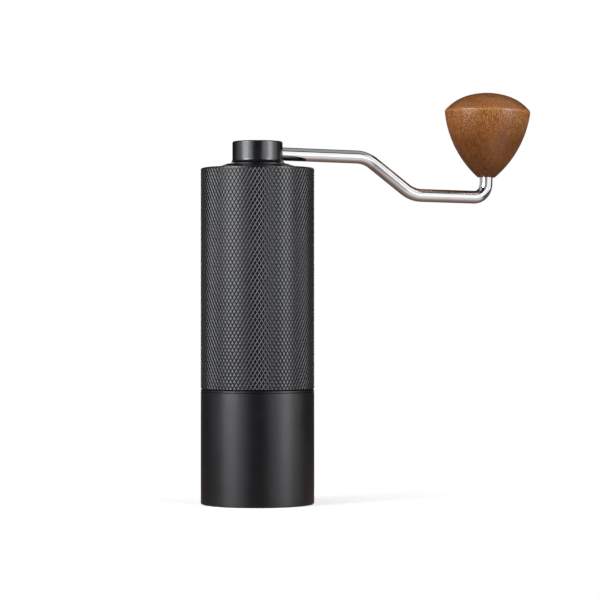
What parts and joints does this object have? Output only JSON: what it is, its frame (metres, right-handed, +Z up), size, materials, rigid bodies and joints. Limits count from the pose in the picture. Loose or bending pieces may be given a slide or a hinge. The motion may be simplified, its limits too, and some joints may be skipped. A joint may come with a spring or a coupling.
{
  "type": "hand crank coffee grinder",
  "caption": "Slim hand coffee grinder: knurled black tube on a smooth catch cup, bent steel crank with a turned wooden knob, lift-off lid and an adjustable conical burr set inside.",
  "frame": {"origin": "centre of the catch cup's flat base", "axes": "+Z up along the shaft, +X along the crank arm towards the knob, +Y to the arm's left"},
  "size_m": [0.1666, 0.052, 0.1921],
  "materials": {
    "black_anodised": "black anodised, satin",
    "black_plastic": "black moulded plastic, satin",
    "walnut": "oiled walnut, turned",
    "polished_steel": "polished stainless steel",
    "burr_steel": "hardened stainless steel, ground",
    "shaft_steel": "turned stainless steel",
    "bearing_steel": "ground bearing steel",
    "fastener_steel": "dark oiled steel",
    "spring_steel": "drawn spring wire",
    "silver_aluminium": "natural anodised aluminium",
    "brass": "turned brass",
    "seal_rubber": "black food rubber"
  },
  "bodies": {
    "cup": {"catch_cup": "black_anodised"},
    "body": {"outer_body": "black_anodised", "upper_bracket": "silver_aluminium", "lower_bracket": "silver_aluminium", "bracket_snap_ring": "fastener_steel", "burr_carrier": "silver_aluminium", "outer_burr": "burr_steel", "outer_burr_screws": "fastener_steel", "upper_bearing_outer_race": "bearing_steel", "upper_bearing_shields": "bearing_steel", "lower_bearing_outer_race": "bearing_steel", "lower_bearing_shields": "bearing_steel"},
    "lid": {"lid": "black_plastic", "lid_seal": "seal_rubber", "lid_bush": "brass"},
    "crank": {"crank_hub": "black_anodised", "crank_arm": "polished_steel", "arm_grub_screw": "fastener_steel", "hub_clip": "fastener_steel", "hub_washer": "shaft_steel", "knob_clip": "fastener_steel"},
    "knob": {"crank_knob": "walnut", "knob_bush": "brass"},
    "drive": {"drive_shaft": "shaft_steel", "shaft_clips": "fastener_steel", "upper_bearing_inner_race": "bearing_steel", "lower_bearing_inner_race": "bearing_steel", "spring_washer": "shaft_steel", "burr_spring": "spring_steel"},
    "upper_balls": {"upper_bearing_balls": "bearing_steel", "upper_bearing_cage": "bearing_steel"},
    "lower_balls": {"lower_bearing_balls": "bearing_steel", "lower_bearing_cage": "bearing_steel"},
    "burr": {"inner_burr": "burr_steel", "click_plate": "shaft_steel"},
    "dial": {"adjusting_dial": "silver_aluminium", "detent_balls": "bearing_steel", "detent_springs": "spring_steel"}
  },
  "joints": [
    {"name": "body_lift", "type": "slide", "parent": "cup", "child": "body", "axis": [0, 0, 1], "range_m": [0, 0.045]},
    {"name": "lid_lift", "type": "slide", "parent": "body", "child": "lid", "axis": [0, 0, 1], "range_m": [0, 0.04]},
    {"name": "crank_turn", "type": "hinge", "parent": "lid", "child": "crank", "pos_m": [0, 0, 0.1606], "axis": [0, 0, 1], "continuous": true},
    {"name": "knob_spin", "type": "hinge", "parent": "crank", "child": "knob", "pos_m": [0.11947, 0, 0.15184], "axis": [0.0227, 0, 0.9997], "continuous": true},
    {"name": "shaft_turn", "type": "hinge", "parent": "body", "child": "drive", "pos_m": [0, 0, 0.1], "axis": [0, 0, 1], "continuous": true},
    {"name": "upper_balls_turn", "type": "hinge", "parent": "body", "child": "upper_balls", "pos_m": [0, 0, 0.1235], "axis": [0, 0, 1], "continuous": true},
    {"name": "lower_balls_turn", "type": "hinge", "parent": "body", "child": "lower_balls", "pos_m": [0, 0, 0.0785], "axis": [0, 0, 1], "continuous": true},
    {"name": "burr_feed", "type": "slide", "parent": "drive", "child": "burr", "axis": [0, 0, 1], "range_m": [-0.0015, 0.0015], "deforming": ["burr_spring"]},
    {"name": "dial_turn", "type": "hinge", "parent": "burr", "child": "dial", "pos_m": [0, 0, 0.045], "axis": [0, 0, 1], "range_deg": [-540, 540]}
  ],
  "couplings": [
    {"joint": "shaft_turn", "follows": "crank_turn", "ratio": 1},
    {"joint": "upper_balls_turn", "follows": "crank_turn", "ratio": 0.40083},
    {"joint": "lower_balls_turn", "follows": "crank_turn", "ratio": 0.40083},
    {"joint": "burr_feed", "follows": "dial_turn", "m_per_rad": 0.00015915}
  ]
}
